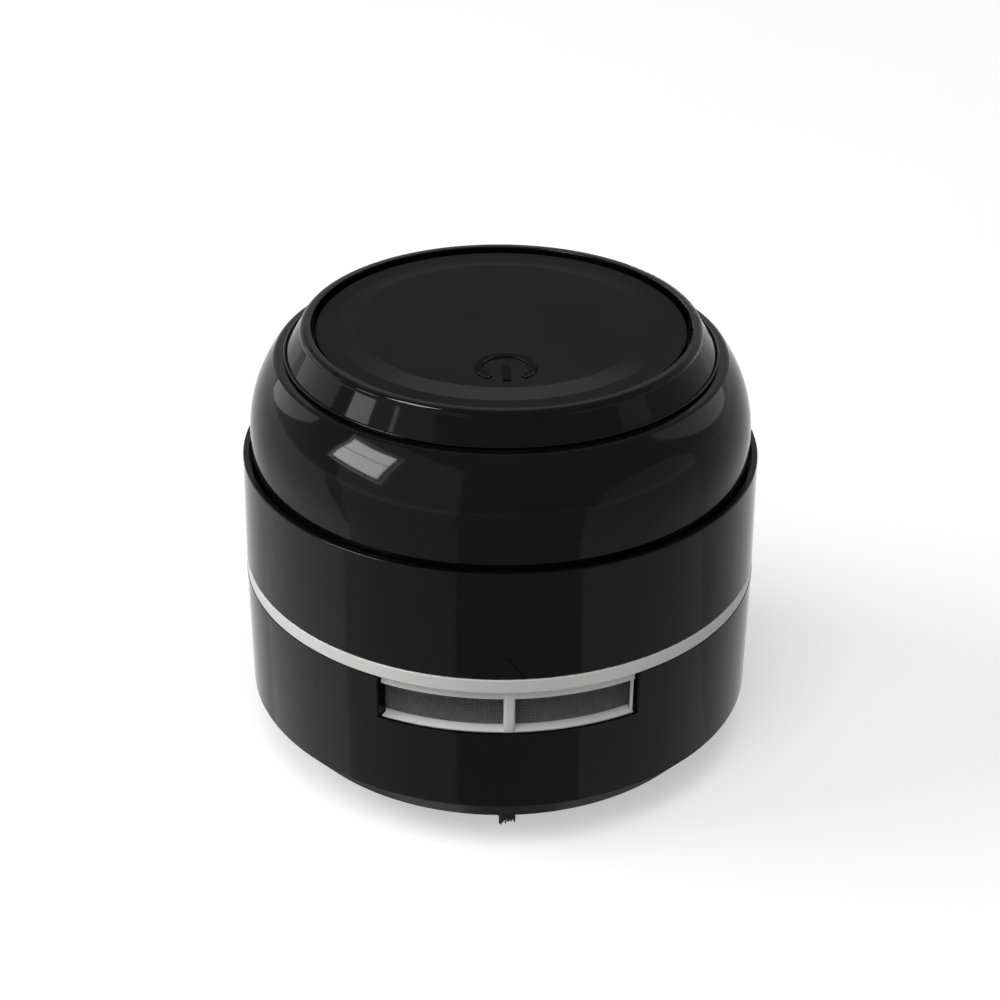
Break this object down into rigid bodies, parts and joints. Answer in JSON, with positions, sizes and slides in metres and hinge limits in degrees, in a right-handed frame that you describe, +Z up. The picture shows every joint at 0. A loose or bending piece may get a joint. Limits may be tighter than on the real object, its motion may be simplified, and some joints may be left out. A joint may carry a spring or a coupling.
{
  "type": "desktop mini vacuum cleaner",
  "caption": "Palm-size round desk vacuum: a push-button head with motor and fan lifts off a dust cup with a mesh filter basket, standing on brush strips.",
  "frame": {"origin": "centre of the footprint, on the surface that the bristle tips stand on", "axes": "+Z up along the axis of the round body, -Y towards the front window and power sign, +X to the right seen from the front"},
  "size_m": [0.088, 0.0878, 0.0753],
  "materials": {
    "black_gloss": "high gloss black ABS",
    "black_satin": "satin black ABS",
    "white_plastic": "satin white moulding",
    "mesh_grey": "fine woven nylon mesh",
    "bristle": "black nylon bristles",
    "steel": "zinc plated",
    "brass": "stamped",
    "nickel": "nickel strip",
    "cell_wrap": "shrink film",
    "rubber": "soft",
    "fan_plastic": "dark grey nylon",
    "board_green": "solder mask"
  },
  "bodies": {
    "base": {"dust_cup": "black_gloss", "base_cover": "black_gloss", "brush_strips": "bristle", "base_screws": "steel"},
    "basket": {"filter_basket": "white_plastic", "floor_plate": "white_plastic", "inlet_chimney": "white_plastic", "filter_mesh": "mesh_grey"},
    "head": {"middle_housing": "black_gloss", "top_housing": "black_gloss", "collar_ring": "black_gloss", "motor_deck": "black_satin", "deck_screws": "steel", "motor_screws": "steel", "motor_gasket": "rubber", "motor_can": "steel", "motor_end_cap": "white_plastic", "motor_terminals": "brass", "battery_cell": "cell_wrap", "battery_tabs": "nickel", "charging_board": "board_green", "charging_screws": "steel", "charging_socket": "steel", "circuit_board": "board_green", "circuit_screws": "steel", "switch_body": "black_satin", "button_springs": "steel"},
    "button": {"button_disc": "black_satin", "button_screws": "steel", "switch_plunger": "white_plastic"},
    "rotor": {"impeller": "fan_plastic", "motor_shaft": "steel"}
  },
  "joints": [
    {"name": "head_lift", "type": "slide", "parent": "base", "child": "head", "axis": [0, 0, 1], "range_m": [0, 0.06]},
    {"name": "basket_lift", "type": "slide", "parent": "base", "child": "basket", "axis": [0, 0, 1], "range_m": [0, 0.03]},
    {"name": "button_press", "type": "slide", "parent": "head", "child": "button", "axis": [0, 0, -1], "range_m": [0, 0.0013], "stiffness_N_per_m": 1200, "springref_m": -0.0005, "deforming": ["button_springs"]},
    {"name": "impeller_spin", "type": "hinge", "parent": "head", "child": "rotor", "pos_m": [0, 0, 0.03], "axis": [0, 0, 1], "continuous": true}
  ],
  "couplings": [
    {"joint": "basket_lift", "follows": "head_lift", "ratio": 0.5}
  ]
}
